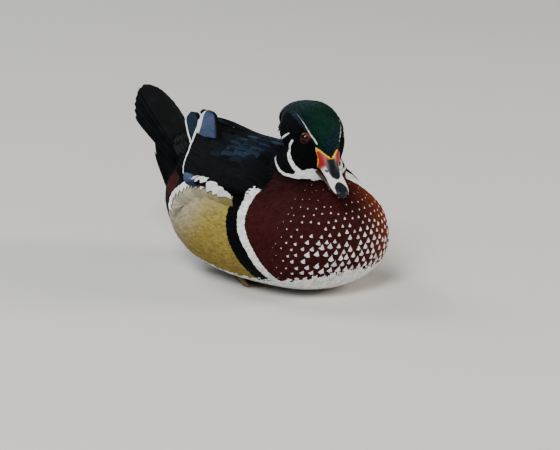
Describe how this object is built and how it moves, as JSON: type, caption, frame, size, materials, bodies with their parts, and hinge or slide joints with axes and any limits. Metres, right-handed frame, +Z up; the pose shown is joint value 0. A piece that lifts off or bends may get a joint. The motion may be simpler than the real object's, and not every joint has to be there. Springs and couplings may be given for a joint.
{
  "type": "wood duck",
  "caption": "Life-size drake wood duck resting on its belly, head turned a little, crest swept back and tail raised.",
  "frame": {"origin": "centre of the small flat under the belly, on the surface that the bird rests on", "axes": "+X towards the breast, +Y to the bird's left, +Z up"},
  "size_m": [0.3071, 0.1592, 0.1708],
  "materials": {
    "flank_plumage": "soft golden buff plumage with fine dark bars",
    "breast_plumage": "dark chestnut plumage with rows of white arrow marks",
    "black_plumage": "black plumage with a faint gloss",
    "head_plumage": "black plumage with a green and purple gloss and white lines",
    "wing_plumage": "blue-black feathers with a blue gloss and pale edges",
    "bill_horn": "satin horn, white with red sides, a black ridge and nail and a yellow hem",
    "eye": "wet red iris with a black pupil",
    "foot_skin": "scaly dull yellow skin with dusky webs"
  },
  "bodies": {
    "root": {"torso": "flank_plumage", "breast": "breast_plumage", "rump": "black_plumage", "neck": "black_plumage", "head": "head_plumage", "crest": "head_plumage", "bill_upper": "bill_horn", "bill_lower": "bill_horn", "eye_right": "eye", "eye_left": "eye", "tail": "black_plumage", "undertail": "black_plumage", "uppertail": "black_plumage", "wing_right": "wing_plumage", "wing_left": "wing_plumage", "shank_right": "foot_skin", "shank_left": "foot_skin", "foot_right": "foot_skin", "foot_left": "foot_skin"}
  },
  "joints": []
}
